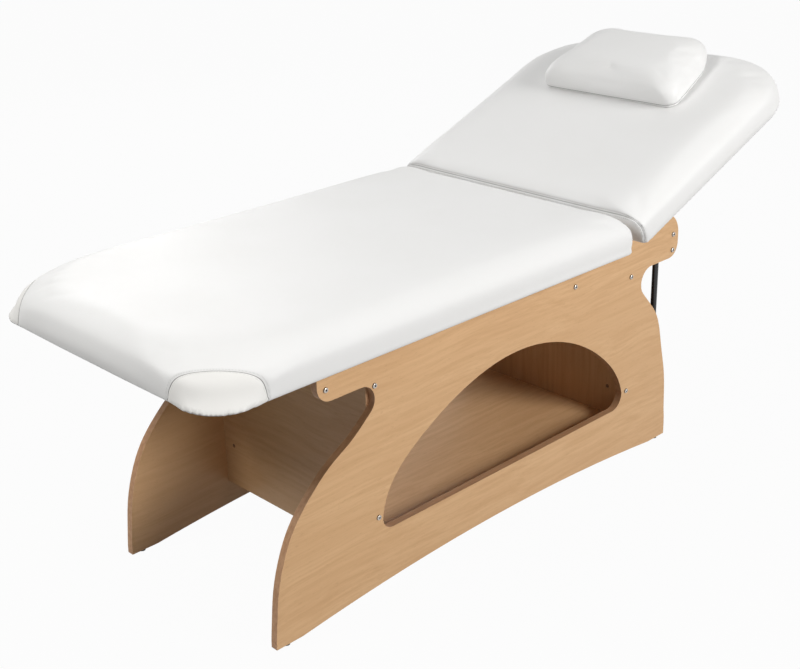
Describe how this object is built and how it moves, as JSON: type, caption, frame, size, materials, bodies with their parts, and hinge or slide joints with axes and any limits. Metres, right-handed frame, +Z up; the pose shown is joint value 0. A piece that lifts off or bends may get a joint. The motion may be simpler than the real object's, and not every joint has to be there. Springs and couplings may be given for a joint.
{
  "type": "beauty bed",
  "caption": "Padded treatment bed with a tilting back and a loose pillow, on a bolted wood panel base with arch cut-outs and a low shelf.",
  "frame": {"origin": "on the floor, below the centre of the box round the bed", "axes": "+X towards the head, +Y to the far side, +Z up"},
  "size_m": [1.922, 0.8, 1.0216],
  "materials": {
    "beech": "beech faced board, satin",
    "batten": "plain softwood batten",
    "plywood": "raw plywood",
    "cover": "white soft-touch leatherette over foam",
    "pillow_cover": "white soft-touch leatherette over foam",
    "bolt_chrome": "bright plated socket bolts",
    "steel": "zinc plated steel",
    "strut_black": "black enamel",
    "rod_chrome": "hard chrome",
    "glide_plastic": "moulded nail glide",
    "strip_fabric": "hook and loop tape"
  },
  "bodies": {
    "base": {"side_panel_near": "beech", "side_panel_far": "beech", "foot_cross_panel": "beech", "head_cross_panel": "beech", "shelf": "beech", "foot_rail": "beech", "middle_rail": "beech", "head_rail": "beech", "shelf_cleat_near": "batten", "shelf_cleat_far": "batten", "lying_base_board": "plywood", "lying_pad": "cover", "panel_bolts": "bolt_chrome", "barrel_nuts": "steel", "cleat_screws": "steel", "board_screws": "steel", "board_angles": "steel", "hinge_pin_near": "steel", "hinge_pin_far": "steel", "lying_hinge_leaf_near": "steel", "lying_hinge_leaf_far": "steel", "strut_stud_near": "steel", "strut_stud_far": "steel", "floor_glides": "glide_plastic"},
    "back": {"back_pad": "cover", "back_base_board": "plywood", "back_hinge_leaf_near": "steel", "back_hinge_leaf_far": "steel", "strut_bracket_near": "steel", "strut_bracket_far": "steel", "back_screws": "steel", "pillow_loop_strip": "strip_fabric"},
    "strut_tubes": {"strut_tube_near": "strut_black", "strut_tube_far": "strut_black"},
    "strut_rods": {"strut_rod_near": "rod_chrome", "strut_rod_far": "rod_chrome", "strut_pin_near": "steel", "strut_pin_far": "steel"},
    "pillow": {"pillow": "pillow_cover", "pillow_hook_strip": "strip_fabric"}
  },
  "joints": [
    {"name": "back_tilt", "type": "hinge", "parent": "base", "child": "back", "pos_m": [0.26695, 0, 0.698], "axis": [0, -1, 0], "range_deg": [-21.8, 28.2]},
    {"name": "strut_tilt", "type": "hinge", "parent": "base", "child": "strut_tubes", "pos_m": [0.56145, 0, 0.125], "axis": [0, -1, 0], "range_deg": [-1.25, 1.6]},
    {"name": "strut_extend", "type": "slide", "parent": "strut_tubes", "child": "strut_rods", "axis": [-0.0047, 0, 1], "range_m": [-0.1125, 0.145]},
    {"name": "pillow_lift", "type": "slide", "parent": "back", "child": "pillow", "axis": [-0.3714, 0, 0.9285], "range_m": [0, 0.08]}
  ],
  "couplings": [
    {"joint": "strut_tilt", "follows": "back_tilt", "ratio": 0.054141},
    {"joint": "strut_extend", "follows": "back_tilt", "m_per_rad": 0.29179}
  ]
}
